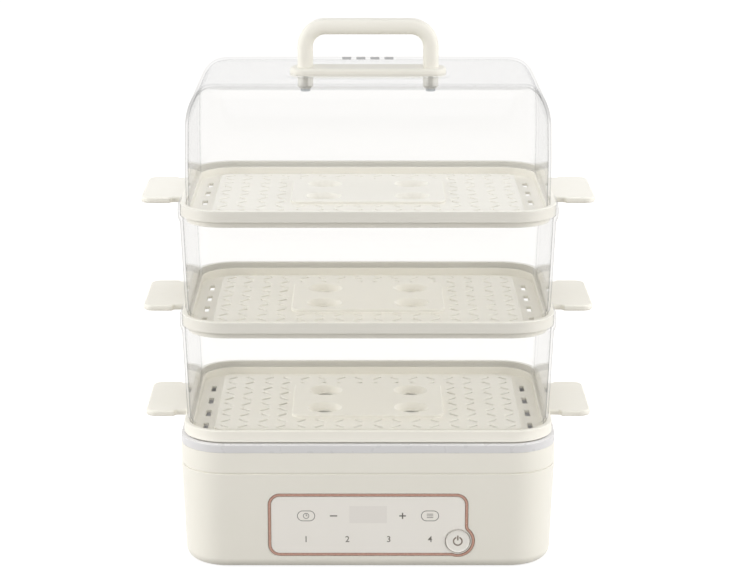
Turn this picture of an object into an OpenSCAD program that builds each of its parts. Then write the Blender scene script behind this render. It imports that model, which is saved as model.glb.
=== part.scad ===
// Three-tier electric food steamer.
// Millimetres. The origin is the centre of the base on the surface it stands on;
// +Z is up and the control panel faces -Y. Every tier is a rounded rectangle, so a wall
// is drawn as a section of (offset from the corner centres, height) and swept round it.

/* [Base] */
// Width of the base
body_w = 320; // [300:2:340]
// Depth of the base, front to back
base_d = 236; // [230:2:250]
// Plan radius of the body corners
corner_r = 40; // [38:1:44]
// Height of the seam between the lower housing and the tank moulding
seam_z = 87; // [84:1:94]
// Height of the plain band of the tank moulding above the seam
band_h = 17.7; // [16:0.1:22]
// Inward lean of the lower housing walls, in degrees
wall_lean = 2.2; // [1:0.1:2.6]
// Radius of the rounding under the lower housing
bottom_r = 9; // [7:0.5:10]
// Wall of the lower housing
housing_wall = 2.8; // [2.2:0.1:3.4]
// Wall of the tank moulding
tank_wall = 2.5; // [2:0.1:3]
// Height that the rubber feet lift the housing
foot_h = 3; // [2:0.5:5]
// Radius of a rubber foot
foot_r = 10; // [8:0.5:12]

/* [Tank and heater] */
// Distance from each side of the base to the deep basin
basin_side_gap = 20; // [18:1:30]
// Distance from the front of the base to the deep basin, which leaves room for the boards
basin_front_gap = 36; // [35:1:42]
// Distance from the back of the base to the deep basin
basin_rear_gap = 22; // [20:1:28]
// Height of the basin floor
basin_z = 42; // [41:1:46]
// Radius of the heater plate flange
heater_r = 57; // [50:1:60]
// Inner radius of the steam collecting ring
steam_ring_r = 64; // [62:1:70]
// Height of the steam collecting ring
steam_ring_h = 34; // [26:1:38]

/* [Drip tray] */
// Height of the drip tray rim, the grey band
drip_rim_h = 7; // [6:0.5:9]
// Depth of the drip tray pan below its rim
drip_pan_h = 14.7; // [11:0.1:14.8]
// Width of the steam opening in the drip tray
steam_opening_w = 150; // [120:2:180]

/* [Tiers] */
// Distance that the tiers stand back from the front and the back of the base
tier_setback = 4; // [3:0.5:7]
// Height from one tray rim to the next
tier_pitch = 94.8; // [88:0.2:110]
// Visible height of a tray wall
skirt_h = 10.4; // [9:0.2:11]
// Depth of the groove in a tray rim that the clear wall stands in
seat_depth = 5; // [4:0.5:6]
// Depth of a tray floor below its rim
tray_depth = 12; // [10:0.5:13]
// Thickness of a tray floor
floor_t = 2.5; // [2:0.1:3]
// Thickness of a tray wall
tray_wall = 2.2; // [1.8:0.1:2.6]
// Thickness of the clear walls
clear_wall = 2.2; // [1.8:0.1:2.4]
// Wall of the flared lip on a clear ring
lip_wall = 2; // [1.6:0.1:2.2]
// Sideways clearance of every tier in the one below
tier_fit = 0.35; // [0.3:0.05:0.5]
// Width of a tray rim between the clear wall and the lip
rim_w = 4.3; // [3.8:0.1:5]

/* [Tray details] */
// Overall width over the tray handles
handles_w = 388; // [370:2:400]
// Length of a tray handle along the side
tab_l = 92; // [80:2:100]
// Thickness of a tray handle
tab_t = 5; // [4:0.5:5.5]
// Pitch of the slot pattern
cell_pitch = 33; // [30:0.5:34]
// Length of a steam slot
slot_l = 10.5; // [8:0.5:11.5]
// Width of a steam slot
slot_w = 2.4; // [1.6:0.1:3]
// Rise of the slotted deck above the gutter round it
deck_rise = 5; // [3:0.5:6]
// Rise of the platform of the egg cups above the deck
platform_rise = 2.5; // [1:0.5:3]
// Radius of an egg cup at the top of its platform
cup_r = 14.75; // [13:0.25:16]
// Radius of the hole in an egg cup
cup_hole_r = 7.5; // [5:0.5:9]

/* [Lid] */
// Height of the lid above the rim of the top tray
lid_h = 99.3; // [94:0.1:120]
// Thickness of the lid
lid_wall = 2.4; // [2:0.1:2.6]
// Width of the rounding along the lid's top edge
lid_round_w = 22; // [16:1:26]
// Height of the rounding along the lid's top edge
lid_round_h = 36; // [24:1:40]
// Length of a steam vent in the lid
vent_l = 8; // [6:0.5:10]
// Width of a steam vent in the lid
vent_w = 3; // [2:0.5:4]

/* [Lid handle] */
// Overall length of the handle plate
plate_l = 134; // [126:1:150]
// Depth of the handle plate
plate_d = 33; // [30:1:40]
// Thickness of the handle plate
plate_t = 6; // [5:0.5:8]
// Width of the handle over its legs
grip_w = 121; // [110:1:124]
// Height of the handle above its plate
grip_h = 41.5; // [36:0.5:50]
// Thickness of the handle bar
grip_t = 13.3; // [11:0.1:15]
// Depth of the handle bar, front to back
grip_d = 18; // [15:0.5:22]
// Outer radius of the handle's bends
grip_r = 24; // [20:1:26]

/* [Control panel] */
// Width of the control panel over its trim
panel_w = 170; // [160:1:176]
// Height of the control panel over its trim
panel_h = 56.5; // [54:0.5:58]
// Corner radius of the control panel
panel_r = 10; // [8:0.5:12]
// Height of the panel's centre above the table
panel_z = 40.4; // [40:0.2:44]
// Width of the rose gold trim
trim_w = 2.6; // [2:0.1:3]
// Radius of the power button
button_r = 10.6; // [9:0.1:11]
// Travel of the power button
button_travel = 1.5; // [0.5:0.1:1.6]

/* [Hidden] */
$fn = 48;
eps = 0.01;

ivory = "#ECE7DB";
clear = [0.93, 0.93, 0.96, 0.3];
grey = [0.78, 0.78, 0.8, 0.9];
rose_gold = "#C5AC9D";
steel = "#B9BCBE";
aluminium = "#A8ABAE";
rubber = "#D8D6D0";
board_green = "#2F6B4A";
dark = "#3A3A3C";
copper = "#C58F63";

// Depth of the tiers over the lip, and the plan of the basin.
tier_d = base_d - 2 * tier_setback;
basin_w = body_w - 2 * basin_side_gap;
basin_d = base_d - basin_front_gap - basin_rear_gap;
basin_back = (basin_front_gap - basin_rear_gap) / 2;

// Centres of the plan corners: one rectangle for the base, a shallower one for the tiers.
core_x = body_w / 2 - corner_r;
base_core_y = base_d / 2 - corner_r;
tier_core_y = tier_d / 2 - corner_r;

// Offsets of the tier walls from the corner centres, from the lip inwards.
lip_in = corner_r - lip_wall;
tray_e = lip_in - tier_fit;
socket_e = tray_e - rim_w;
foot_e = socket_e - tier_fit;
foot_in_e = foot_e - clear_wall;
pan_e = foot_in_e - 0.4;
skirt_t = 2;
shelf_in_e = pan_e + tray_wall + 1.8;
wall_top_e = shelf_in_e + clear_wall;

// Height of a whole tray wall, from its rim to the foot of its pan.
pan_h = tray_depth + floor_t + 0.5;

// Heights of the stack.
band_top_z = seam_z + band_h;
drip_top_z = band_top_z + drip_rim_h;
rim_1_z = drip_top_z + skirt_h;
rim_2_z = rim_1_z + tier_pitch;
rim_3_z = rim_2_z + tier_pitch;
lid_top_z = rim_3_z + lid_h;

// ---------- shared shapes ----------

// Sweeps a section of (offset, height) round the rectangle of corner centres.
module sweep_round(cx, cy) {
    for (corner = [[1, 1, 0], [-1, 1, 90], [-1, -1, 180], [1, -1, 270]])
        translate([corner[0] * cx, corner[1] * cy, 0])
            rotate([0, 0, corner[2]]) rotate_extrude(angle = 90) children();
    for (turn = [0, 180]) {
        rotate([0, 0, turn]) translate([cx, 0, 0])
            rotate([90, 0, 0]) linear_extrude(2 * cy, center = true) children();
        rotate([0, 0, turn + 90]) translate([cy, 0, 0])
            rotate([90, 0, 0]) linear_extrude(2 * cx, center = true) children();
    }
}

// Rounded rectangle, e outside the corner centres.
module plan(cx, cy, e) {
    square([2 * cx, 2 * (cy + e)], center = true);
    square([2 * (cx + e), 2 * cy], center = true);
    for (sx = [-1, 1], sy = [-1, 1]) translate([sx * cx, sy * cy]) circle(e);
}

module slab(cx, cy, e, z0, z1) {
    translate([0, 0, z0]) linear_extrude(z1 - z0) plan(cx, cy, e);
}

module box(size, at) {
    translate(at) translate([-size[0] / 2, -size[1] / 2, 0]) cube(size);
}

module rod(r, z0, z1, at = [0, 0]) {
    translate([at[0], at[1], z0]) cylinder(r = r, h = z1 - z0);
}

// Rounded rectangle of a given size.
module rounded(w, h, r) {
    plan(w / 2 - r, h / 2 - r, r);
}

function unit(v) = v / norm(v);

// The four points at (x, y) and its mirror images.
function four_at(x, y) = [for (sx = [-1, 1], sy = [-1, 1]) [sx * x, sy * y]];

// Round tube along a list of points; aside is any direction that the path never takes.
module tube(path, r, sides, aside) {
    last = len(path) - 1;
    rings = [for (i = [0:last])
        let (t = unit(path[min(i + 1, last)] - path[max(i - 1, 0)]),
             n = unit(cross(t, aside)),
             b = cross(t, n))
        [for (k = [0:sides - 1]) let (a = 360 * k / sides)
            path[i] + r * (cos(a) * n + sin(a) * b)]];
    points = [for (ring = rings) for (p = ring) p];
    walls = [for (i = [0:last - 1], k = [0:sides - 1]) let (m = (k + 1) % sides, o = i * sides)
        each [[o + k, o + m, o + sides + m], [o + k, o + sides + m, o + sides + k]]];
    first_cap = [for (k = [sides - 1:-1:0]) k];
    last_cap = [for (k = [0:sides - 1]) last * sides + k];
    polyhedron(points, concat(walls, [first_cap, last_cap]));
}

// ---------- base: housing ----------

housing_drop = (seam_z - foot_h - bottom_r) * tan(wall_lean);
round_e = corner_r - housing_drop - bottom_r;
round_z = foot_h + bottom_r;
bottom_t = 2.8;
lip_reach = 8;
plate_fit = 0.3;
bottom_plate_t = 2.5;
plate_top_z = foot_h + bottom_plate_t;
column_r = 4.5;
column_z = foot_h + 6;
column_in = 21;
front_column_x = body_w / 2 - 30;
rear_column_x = body_w / 2 - 23;
column_y = base_d / 2 - column_in;
housing_columns = [[front_column_x, -column_y], [-front_column_x, -column_y],
                   [rear_column_x, column_y], [-rear_column_x, column_y]];
plate_screw_x = body_w / 2 - 90;
plate_screw_y = base_d / 2 - 37;
foot_x = body_w / 2 - 56;
foot_y = base_d / 2 - 52;
plate_screw_at = four_at(plate_screw_x, plate_screw_y);
foot_at = four_at(foot_x, foot_y);
screw_r = 1.9;
head_r = 3.5;
head_t = 2;
thread_fit = 0.1;
plate_screw_top = 13;
column_grip = 14;
column_head_z = foot_h + 1 + head_t;

function housing_section() = concat(
    [[corner_r, seam_z]],
    [for (a = [0:-15:-90]) [round_e + bottom_r * cos(a), round_z + bottom_r * sin(a)]],
    [[lip_reach, foot_h], [lip_reach, plate_top_z], [1, plate_top_z],
     [1, plate_top_z + bottom_t], [lip_reach + bottom_t, plate_top_z + bottom_t],
     [lip_reach + bottom_t, foot_h + bottom_t]],
    [for (a = [-90:15:0]) [round_e + (bottom_r - bottom_t) * cos(a),
                           round_z + (bottom_r - bottom_t) * sin(a)]],
    [[corner_r - housing_wall, seam_z]]);

// Places its children in the panel's frame: x right, y up the face, z out of it.
face_y = base_d / 2 - (seam_z - panel_z) * tan(wall_lean);
module on_face() {
    translate([0, -face_y, panel_z]) rotate([90 + wall_lean, 0, 0]) children();
}

button_at = [panel_w / 2 - 8.6, 13.55 - panel_h / 2];
bulge_r = button_r + 3.9;
recess_d = 2.6;
pad_back = -5.6;
board_front = -18;
board_t = 1.6;
display_at = [0, 9.4];
display_size = [32, 15.5];
board_w = panel_w - 18;
board_h = panel_h - 10.5;
standoff_x = board_w / 2 - 6;
standoff_y = board_h / 2 - 4;
standoff_at = [[-standoff_x, standoff_y], [standoff_x, standoff_y],
               [-standoff_x, -standoff_y], [standoff_x - 30, -standoff_y]];
standoff_r = 3;
board_screw_r = 1.3;
board_hole_r = 1.6;
upper_key_y = 8.2;
lower_key_y = -13.3;
lower_key_pitch = 35.2;
key_at = concat([for (x = [-52.6, -29.3, 29.3, 52.6]) [x, upper_key_y]],
                [for (i = [-1.5:1.5]) [i * lower_key_pitch, lower_key_y]]);

module panel_plan(inset) {
    rounded(panel_w - 2 * inset, panel_h - 2 * inset, panel_r - inset);
    translate(button_at) circle(bulge_r - inset);
}

gland_x = body_w / 2 - 60;
gland_z = 26;
gland_bore_r = 3.6;
gland_flange_t = 1.8;
gland_face_y = base_d / 2 - gland_flange_t;
module gland_boss(r, y0, y1) {
    translate([gland_x, y1, gland_z]) rotate([90, 0, 0]) cylinder(r = r, h = y1 - y0);
}

module lower_housing() {
    color(ivory) difference() {
        union() {
            sweep_round(core_x, base_core_y) polygon(housing_section());
            on_face() translate([0, 0, pad_back])
                linear_extrude(-pad_back - 2) rounded(panel_w + 12, panel_h + 9, panel_r);
            on_face() for (p = standoff_at) rod(standoff_r, board_front, pad_back + eps, p);
            for (p = housing_columns) rod(6, foot_h, column_z, p);
            for (p = plate_screw_at) rod(4, plate_top_z, plate_screw_top + 3, p);
            gland_boss(13, base_d / 2 - 8, gland_face_y);
        }
        on_face() translate([0, 0, -recess_d]) linear_extrude(9) panel_plan(-0.15);
        on_face() rod(button_r + 0.4, pad_back - 1, 0, button_at);
        on_face() box([display_size[0] + 1, display_size[1] + 1, 9],
                      [display_at[0], display_at[1], pad_back - 3]);
        on_face() for (p = standoff_at) rod(board_screw_r, board_front - 1, pad_back - 2, p);
        for (p = housing_columns) {
            rod(head_r + 0.3, foot_h - 1, column_head_z, p);
            rod(screw_r + thread_fit, foot_h, column_z + 1, p);
        }
        for (p = plate_screw_at) rod(screw_r, plate_top_z - 1, plate_screw_top + 1, p);
        gland_boss(gland_barrel_r + 0.1, base_d / 2 - 12, base_d / 2 + 5);
    }
}

// ---------- base: tank moulding ----------

band_wall = 7;
shelf_z = seam_z + tank_wall;
basin_r = 30;
heater_hole_r = heater_r - 5;

module basin_plan(grow) {
    translate([0, basin_back])
        rounded(basin_w + 2 * grow, basin_d + 2 * grow, basin_r + grow);
}

module water_tank() {
    color(ivory) difference() {
        union() {
            slab(core_x, base_core_y, corner_r, seam_z, band_top_z);
            translate([0, 0, basin_z - tank_wall])
                linear_extrude(shelf_z - basin_z) basin_plan(tank_wall);
            for (p = housing_columns) rod(column_r, column_z, seam_z + eps, p);
        }
        slab(core_x, base_core_y, corner_r - band_wall, shelf_z, band_top_z + 1);
        difference() {
            slab(core_x, base_core_y, corner_r - housing_wall, seam_z - 1, band_top_z - 3);
            slab(core_x, base_core_y, corner_r - band_wall + tank_wall,
                 seam_z - 2, band_top_z);
        }
        translate([0, 0, basin_z]) linear_extrude(seam_z) basin_plan(0);
        translate([0, basin_back, 0]) rod(heater_hole_r, basin_z - 5, basin_z + 1);
        for (p = housing_columns) rod(screw_r, column_z - 1, column_z + column_grip + 2, p);
    }
}

foot_stem_r = 2.8;
foot_stem_rise = 2;
power_post_r = 3.5;
air_slot = [6, 22];
air_slot_pitch = 12;
air_row_y = 30;
module bottom_plate() {
    color(ivory) difference() {
        union() {
            slab(core_x, base_core_y, lip_reach - plate_fit, foot_h, plate_top_z);
            for (p = power_post_at) rod(power_post_r, plate_top_z - eps, power_board_z, p);
        }
        for (p = foot_at) rod(foot_stem_r + thread_fit, foot_h - 1, plate_top_z + 1, p);
        for (p = plate_screw_at) rod(screw_r + thread_fit, foot_h - 1, plate_top_z + 1, p);
        for (p = power_post_at) rod(board_screw_r, plate_top_z, power_board_z + 1, p);
        for (row = [-1, 1], i = [-4:4])
            box([air_slot[0], air_slot[1], bottom_plate_t + 2],
                [i * air_slot_pitch, row * air_row_y, foot_h - 1]);
    }
}

module rubber_feet() {
    color(rubber) for (p = foot_at) {
        rod(foot_r, 0, foot_h, p);
        rod(foot_stem_r, foot_h - eps, plate_top_z + foot_stem_rise, p);
    }
}

module bottom_screws() {
    color(steel) for (p = plate_screw_at) {
        rod(head_r, foot_h - head_t, foot_h, p);
        rod(screw_r - thread_fit, foot_h - eps, plate_screw_top, p);
    }
}

module housing_screws() {
    color(steel) for (p = housing_columns) {
        rod(head_r, column_head_z - head_t, column_head_z, p);
        rod(screw_r - thread_fit, column_head_z - eps, column_z + column_grip, p);
    }
}

gland_barrel_r = 7;
module cord_gland() {
    color(rubber) difference() {
        union() {
            gland_boss(10, gland_face_y, base_d / 2);
            gland_boss(gland_barrel_r, base_d / 2 - 11, gland_face_y + eps);
            gland_boss(9.5, base_d / 2 - 11, base_d / 2 - 8);
        }
        gland_boss(gland_bore_r, base_d / 2 - 20, base_d / 2 + 20);
    }
}

// ---------- base: electronics ----------

power_board_z = 12;
cold_end_x = 2 - heater_r;
power_board_at = [cold_end_x - 37, -20];
power_board_size = [60, 84];
power_board_top = power_board_z + board_t;
power_post_at = [for (sx = [-1, 1], sy = [-1, 1])
    power_board_at + [sx * (power_board_size[0] / 2 - 5), sy * (power_board_size[1] / 2 - 5)]];

module power_board() {
    color(board_green) difference() {
        box([power_board_size[0], power_board_size[1], board_t],
            [power_board_at[0], power_board_at[1], power_board_z]);
        for (p = power_post_at) rod(board_hole_r, power_board_z - 1, power_board_top + 1, p);
    }
}

module relay() {
    color(dark) box([19, 15.5, 15], [power_board_at[0] - 8, power_board_at[1] + 22,
                                     power_board_top]);
}

module capacitor() {
    color(steel) rod(6.5, power_board_top, power_board_top + 16, power_board_at + [14, -8]);
}

module transformer() {
    color("#C9A13B") box([22, 20, 17], [power_board_at[0] - 8, power_board_at[1] - 16,
                                        power_board_top]);
}

terminal_size = [34, 16, 13];
terminal_at = [gland_x - 18, foot_y];
module terminal_block() {
    color("#E9E9E4") difference() {
        box(terminal_size, [terminal_at[0], terminal_at[1], plate_top_z]);
        for (i = [-1:1]) rod(2, plate_top_z + 5, plate_top_z + terminal_size[2] + 1,
                             terminal_at + [i * 10, 0]);
    }
}

module control_board() {
    color(board_green) on_face() difference() {
        box([board_w, board_h, board_t], [0, 0, board_front - board_t]);
        for (p = standoff_at) rod(board_hole_r, board_front - 9, board_front + 9, p);
    }
}

board_head_r = 2.8;
module board_screws() {
    color(steel) {
        on_face() for (p = standoff_at) {
            rod(board_head_r, board_front - board_t - head_t, board_front - board_t, p);
            rod(board_screw_r - thread_fit, board_front - board_t - eps, board_front + 7, p);
        }
        for (p = power_post_at) {
            rod(board_head_r, power_board_top, power_board_top + head_t, p);
            rod(board_screw_r - thread_fit, power_board_top - 6, power_board_top + eps, p);
        }
    }
}

module display_module() {
    color(dark) on_face()
        box([display_size[0], display_size[1], -board_front - recess_d],
            [display_at[0], display_at[1], board_front]);
}

module touch_springs() {
    color(copper) on_face() for (p = key_at) rod(3.2, board_front, pad_back, p);
}

switch_top = -14.5;
plunger_top = -13.4;
module power_switch() {
    color(dark) on_face() {
        box([6, 6, switch_top - board_front], [button_at[0], button_at[1], board_front]);
        rod(1.75, switch_top - eps, plunger_top, button_at);
    }
}

buzzer_h = 8.5;
buzzer_at = [-35, -3];
module buzzer() {
    color(dark) on_face() translate([0, 0, board_front - board_t - buzzer_h])
        difference() {
            rod(6, 0, buzzer_h, buzzer_at);
            rod(1, -1, 2, buzzer_at);
        }
}

// ---------- base: control panel ----------

module panel_trim() {
    color(rose_gold) on_face() translate([0, 0, -recess_d]) linear_extrude(recess_d + 0.7)
        difference() {
            panel_plan(0);
            panel_plan(trim_w);
        }
}

module control_panel() {
    color("#DCD9D4") on_face() translate([0, 0, -recess_d]) linear_extrude(recess_d + 0.1)
        difference() {
            panel_plan(trim_w + 0.15);
            translate(button_at) circle(button_r + 0.4);
        }
}

flange_front = pad_back - 0.3;
flange_back = flange_front - 1.5;
module power_button() {
    color("#F0EEE8") on_face() {
        rod(button_r, flange_front - eps, 1, button_at);
        rod(button_r + 1.8, flange_back, flange_front, button_at);
        rod(2.2, plunger_top + button_travel + 0.1, flange_back + eps, button_at);
    }
}

spring_wire_r = 0.35;
spring_coil_r = 5;
spring_turns = 5;
spring_steps = 10;
module button_spring() {
    low = board_front + spring_wire_r;
    high = flange_back - spring_wire_r;
    steps = spring_turns * spring_steps;
    color(steel) on_face() tube([for (i = [0:steps]) let (a = 360 * i / spring_steps)
        [button_at[0] + spring_coil_r * cos(a), button_at[1] + spring_coil_r * sin(a),
         low + (high - low) * i / steps]], spring_wire_r, 6, [0, 0, 1]);
}

// ---------- base: heater ----------

seal_t = 1;
plate_under_z = basin_z - 6;
flange_top_z = basin_z + seal_t + 2;
heater_fit = 0.5;
crown_in = 9;
crown_rise = 1.2;
module at_heater() {
    translate([0, basin_back, 0]) children();
}

module heater_plate() {
    color(aluminium) at_heater() {
        rod(heater_r, basin_z + seal_t, flange_top_z);
        rod(heater_hole_r - heater_fit, plate_under_z, basin_z + seal_t + eps);
        rod(heater_r - crown_in, flange_top_z - eps, flange_top_z + crown_rise);
    }
}

module heater_seal() {
    color(rubber) at_heater() difference() {
        rod(heater_r - 0.5, basin_z, basin_z + seal_t);
        rod(heater_hole_r, basin_z - 1, basin_z + seal_t + 1);
    }
}

element_r = heater_r - 19;
element_tube_r = 4;
element_z = plate_under_z - element_tube_r;
cold_end_y = 13;
module heating_element() {
    open = asin(cold_end_y / element_r);
    color(steel) at_heater() translate([0, 0, element_z]) {
        rotate([0, 0, 180 + open]) rotate_extrude(angle = 360 - 2 * open)
            translate([element_r, 0]) circle(element_tube_r);
        for (side = [-1, 1])
            translate([cold_end_x, side * cold_end_y, 0]) rotate([0, 90, 0])
                cylinder(r = 3.2, h = -cold_end_x - element_r * cos(open));
    }
}

clamp_t = 1.5;
clamp_r = heater_r + 3;
lug_w = 8;
lug_r = 5;
lug_hole_r = 2.1;
clamp_screw_in = 8.5;
clamp_screw_at = [for (a = [30, 150, 270]) (heater_r - clamp_screw_in) * [cos(a), sin(a)]];
module heater_clamp() {
    color(steel) at_heater() difference() {
        rod(clamp_r, basin_z - tank_wall - clamp_t, basin_z - tank_wall);
        rod(heater_hole_r, basin_z - tank_wall - 9, basin_z);
    }
    color(steel) at_heater() for (p = clamp_screw_at) difference() {
        clamp_lug(p);
        rod(lug_hole_r, plate_under_z - 9, plate_under_z + 9, p);
    }
}

module clamp_lug(p) {
    rod(lug_r, plate_under_z - clamp_t, plate_under_z, p);
    rotate([0, 0, atan2(p[1], p[0])])
        translate([norm(p), -lug_w / 2, plate_under_z - clamp_t])
            cube([clamp_r - 1 - norm(p), lug_w, clamp_t]);
    rotate([0, 0, atan2(p[1], p[0])])
        translate([heater_hole_r + heater_fit, -lug_w / 2, plate_under_z - clamp_t])
            cube([clamp_r - 1.5 - heater_hole_r - heater_fit, lug_w,
                  basin_z - tank_wall - plate_under_z + clamp_t - eps]);
}

module clamp_screws() {
    color(steel) at_heater() for (p = clamp_screw_at)
        difference() {
            rod(3.8, plate_under_z - clamp_t - 2.4, plate_under_z - clamp_t, p);
            rod(1.6, plate_under_z - 9, plate_under_z - clamp_t - 1.2, p);
        }
}

module thermostat() {
    color(steel) at_heater() {
        rod(8, plate_under_z - 8, plate_under_z);
        box([14, 6.5, 4], [0, 0, plate_under_z - 12]);
    }
}

module thermal_fuse() {
    color("#E6E2D8") at_heater() translate([18, 0, plate_under_z - 2.5])
        rotate([90, 0, 0]) cylinder(r = 2.5, h = 16, center = true);
}

// The leads run from the power board to the cold ends of the heating element.
lead_r = 1.4;
lead_start_x = power_board_at[0] + 24;
module heater_leads() {
    color("#B5332E") for (side = [-1, 1])
        tube([[lead_start_x, basin_back - 8 + side * 5, power_board_top],
              [lead_start_x, basin_back - 8 + side * 5, 19],
              [lead_start_x - 1, basin_back - 5 + side * 7, 24],
              [lead_start_x, basin_back + side * 11, 29],
              [lead_start_x + 4, basin_back + side * cold_end_y, element_z],
              [cold_end_x, basin_back + side * cold_end_y, element_z]],
             lead_r, 8, [0.2, 1, 0.1]);
}

// A flat ribbon joins the power board to the back of the control board.
ribbon_y = power_board_at[1] - power_board_size[1] / 2 + 4;
module panel_ribbon() {
    ribbon_back = -face_y - (board_front - board_t);
    color("#8D8F94") translate([power_board_at[0] + 12, 0, 0]) rotate([90, 0, 90])
        linear_extrude(12, center = true)
            polygon([[ribbon_y, power_board_top], [ribbon_y + 1, power_board_top],
                     [ribbon_y + 1, 25], [ribbon_y - 2, 28.5], [ribbon_back + 0.9, 28.5],
                     [ribbon_back + 0.6, 27.5], [ribbon_y - 2.5, 27.5], [ribbon_y, 24.6]]);
}

// ---------- removable pieces inside the base ----------

steam_ring_wall = 2;
module steam_ring() {
    color(ivory) at_heater() difference() {
        union() {
            rod(steam_ring_r + steam_ring_wall, basin_z, basin_z + steam_ring_h);
            rod(steam_ring_r + 6, basin_z, basin_z + 2);
        }
        rod(steam_ring_r, basin_z - 1, basin_z + steam_ring_h + 1);
        for (a = [0:90:270]) rotate([0, 0, a + 45])
            box([12, 3 * steam_ring_r, 5], [0, 0, basin_z - eps]);
    }
}

drip_pan_e = pan_e - 0.6;
drip_floor_z = band_top_z - drip_pan_h;
drip_web_z = rim_1_z - pan_h - 0.2;
steam_opening_d = 84;
module drip_tray() {
    color(grey) difference() {
        union() {
            slab(core_x, base_core_y, corner_r, band_top_z, drip_top_z);
            slab(core_x, tier_core_y, drip_pan_e, drip_floor_z, band_top_z + eps);
        }
        slab(core_x, tier_core_y, shelf_in_e, drip_web_z, drip_top_z + 1);
        difference() {
            slab(core_x, tier_core_y, drip_pan_e - 2, drip_floor_z + 2, drip_top_z);
            translate([0, 0, drip_floor_z]) linear_extrude(12)
                rounded(steam_opening_w + 4, steam_opening_d + 4, 22);
        }
        translate([0, 0, drip_floor_z - 1]) linear_extrude(drip_pan_h + 9)
            rounded(steam_opening_w, steam_opening_d, 20);
    }
}

// ---------- steam trays ----------

web_z = seat_depth + tray_wall;
rim_chamfer = 0.8;
tab_drop = 2;
neck_l = tab_l - 8;
lip_notch = 0.6;
cup_at = [[38, 26.5], [-38, 26.5], [38, -26.5], [-38, -26.5]];
cup_depth = 5;
side_slot_x = core_x + pan_e - 9.8;
side_slot_pitch = 38;
columns_out = floor((side_slot_x - 8) / cell_pitch) - 0.5;
rows_out = floor((tier_core_y + pan_e - 16) / cell_pitch);
plain_columns = 2;
deck_top = -tray_depth + deck_rise;
platform_top = deck_top + platform_rise;

// Section of a tray wall, measured down from its rim: an upturned channel whose outer
// skirt stands on the ring below, and a groove on top for the clear wall above.
function tray_section() = [
    [socket_e, 0], [tray_e - rim_chamfer, 0], [tray_e, -rim_chamfer],
    [tray_e, -skirt_h], [tray_e - skirt_t, -skirt_h], [tray_e - skirt_t, -web_z],
    [pan_e + tray_wall, -web_z], [pan_e + tray_wall, -pan_h], [pan_e, -pan_h],
    [pan_e, -seat_depth], [socket_e, -seat_depth]];

module handle_tab() {
    root_x = core_x + tray_e - 1;
    pad_x = core_x + corner_r + 6;
    tip_x = handles_w / 2;
    translate([0, 0, -tab_drop - tab_t]) linear_extrude(tab_t) {
        translate([root_x, -neck_l / 2]) square([pad_x + 6 - root_x, neck_l]);
        translate([(pad_x + tip_x) / 2, 0]) rounded(tip_x - pad_x, tab_l, 8);
    }
}

// One cell of the pattern: four slots on the sides of a diamond.
module slot_cell() {
    for (sx = [-1, 1], sy = [-1, 1])
        translate([sx * cell_pitch * 0.24, sy * cell_pitch * 0.24])
            rotate([0, 0, -sx * sy * 45]) square([slot_l, slot_w], center = true);
}

// The middle columns have cells only in the front and back rows, clear of the egg cups.
module slot_pattern() {
    for (column = [-columns_out:columns_out], row = [-rows_out:rows_out])
        if (abs(column) > plain_columns || abs(row) == rows_out)
            translate([column * cell_pitch, row * cell_pitch]) slot_cell();
    for (side = [-1, 1], i = [-1.5:1.5])
        translate([side * side_slot_x, i * side_slot_pitch]) square([4, 18], center = true);
}

// The slots lie in a deck that stands above a gutter, and the egg cups in a platform on the
// deck. Both are raised as a moulded sheet is, with a hollow of the same shape underneath.
module raise_to(top, rise) {
    translate([0, 0, top - rise - floor_t]) linear_extrude(rise + floor_t) children();
}

module hollow_under(top, rise) {
    translate([0, 0, top - rise - floor_t - eps]) linear_extrude(rise + eps) children();
}

module deck(inset) {
    rounded((2 * columns_out + 1) * cell_pitch - 2 * inset,
        (2 * rows_out + 1) * cell_pitch - 2 * inset, 8 - inset);
}

module platform(inset) {
    rounded(2 * plain_columns * cell_pitch - 2 * inset,
        (2 * rows_out - 1) * cell_pitch - 2 * inset, 8 - inset);
}

module egg_cup() {
    low = platform_top - cup_depth - 1.5;
    translate([0, 0, low])
        cylinder(r1 = cup_r - 1.5, r2 = cup_r + 2.5, h = platform_top - low);
}

module egg_cup_hollow() {
    translate([0, 0, platform_top - cup_depth])
        cylinder(r1 = cup_r - 4.2, r2 = cup_r, h = cup_depth + eps);
    rod(cup_hole_r, platform_top - cup_depth - 3, 0);
}

module steam_tray(rim_z) {
    color(ivory) translate([0, 0, rim_z]) difference() {
        union() {
            sweep_round(core_x, tier_core_y) polygon(tray_section());
            slab(core_x, tier_core_y, pan_e + 0.8, -tray_depth - floor_t, -tray_depth);
            for (turn = [0, 180]) rotate([0, 0, turn]) handle_tab();
            difference() {
                union() {
                    difference() {
                        raise_to(deck_top, deck_rise) deck(0);
                        hollow_under(deck_top, deck_rise) deck(floor_t);
                    }
                    raise_to(platform_top, platform_rise) platform(0);
                }
                hollow_under(platform_top, platform_rise) platform(floor_t);
            }
            for (p = cup_at) translate(p) egg_cup();
        }
        difference() {
            hollow_under(deck_top, deck_rise) deck(floor_t);
            for (p = cup_at) translate(p) egg_cup();
            raise_to(platform_top, platform_rise) platform(0);
        }
        for (p = cup_at) translate(p) egg_cup_hollow();
        translate([0, 0, -tray_depth - floor_t - 1]) linear_extrude(floor_t + deck_rise + 2)
            slot_pattern();
    }
}

module steam_tray_1() { steam_tray(rim_1_z); }
module steam_tray_2() { steam_tray(rim_2_z); }
module steam_tray_3() { steam_tray(rim_3_z); }

// ---------- clear rings ----------

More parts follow.
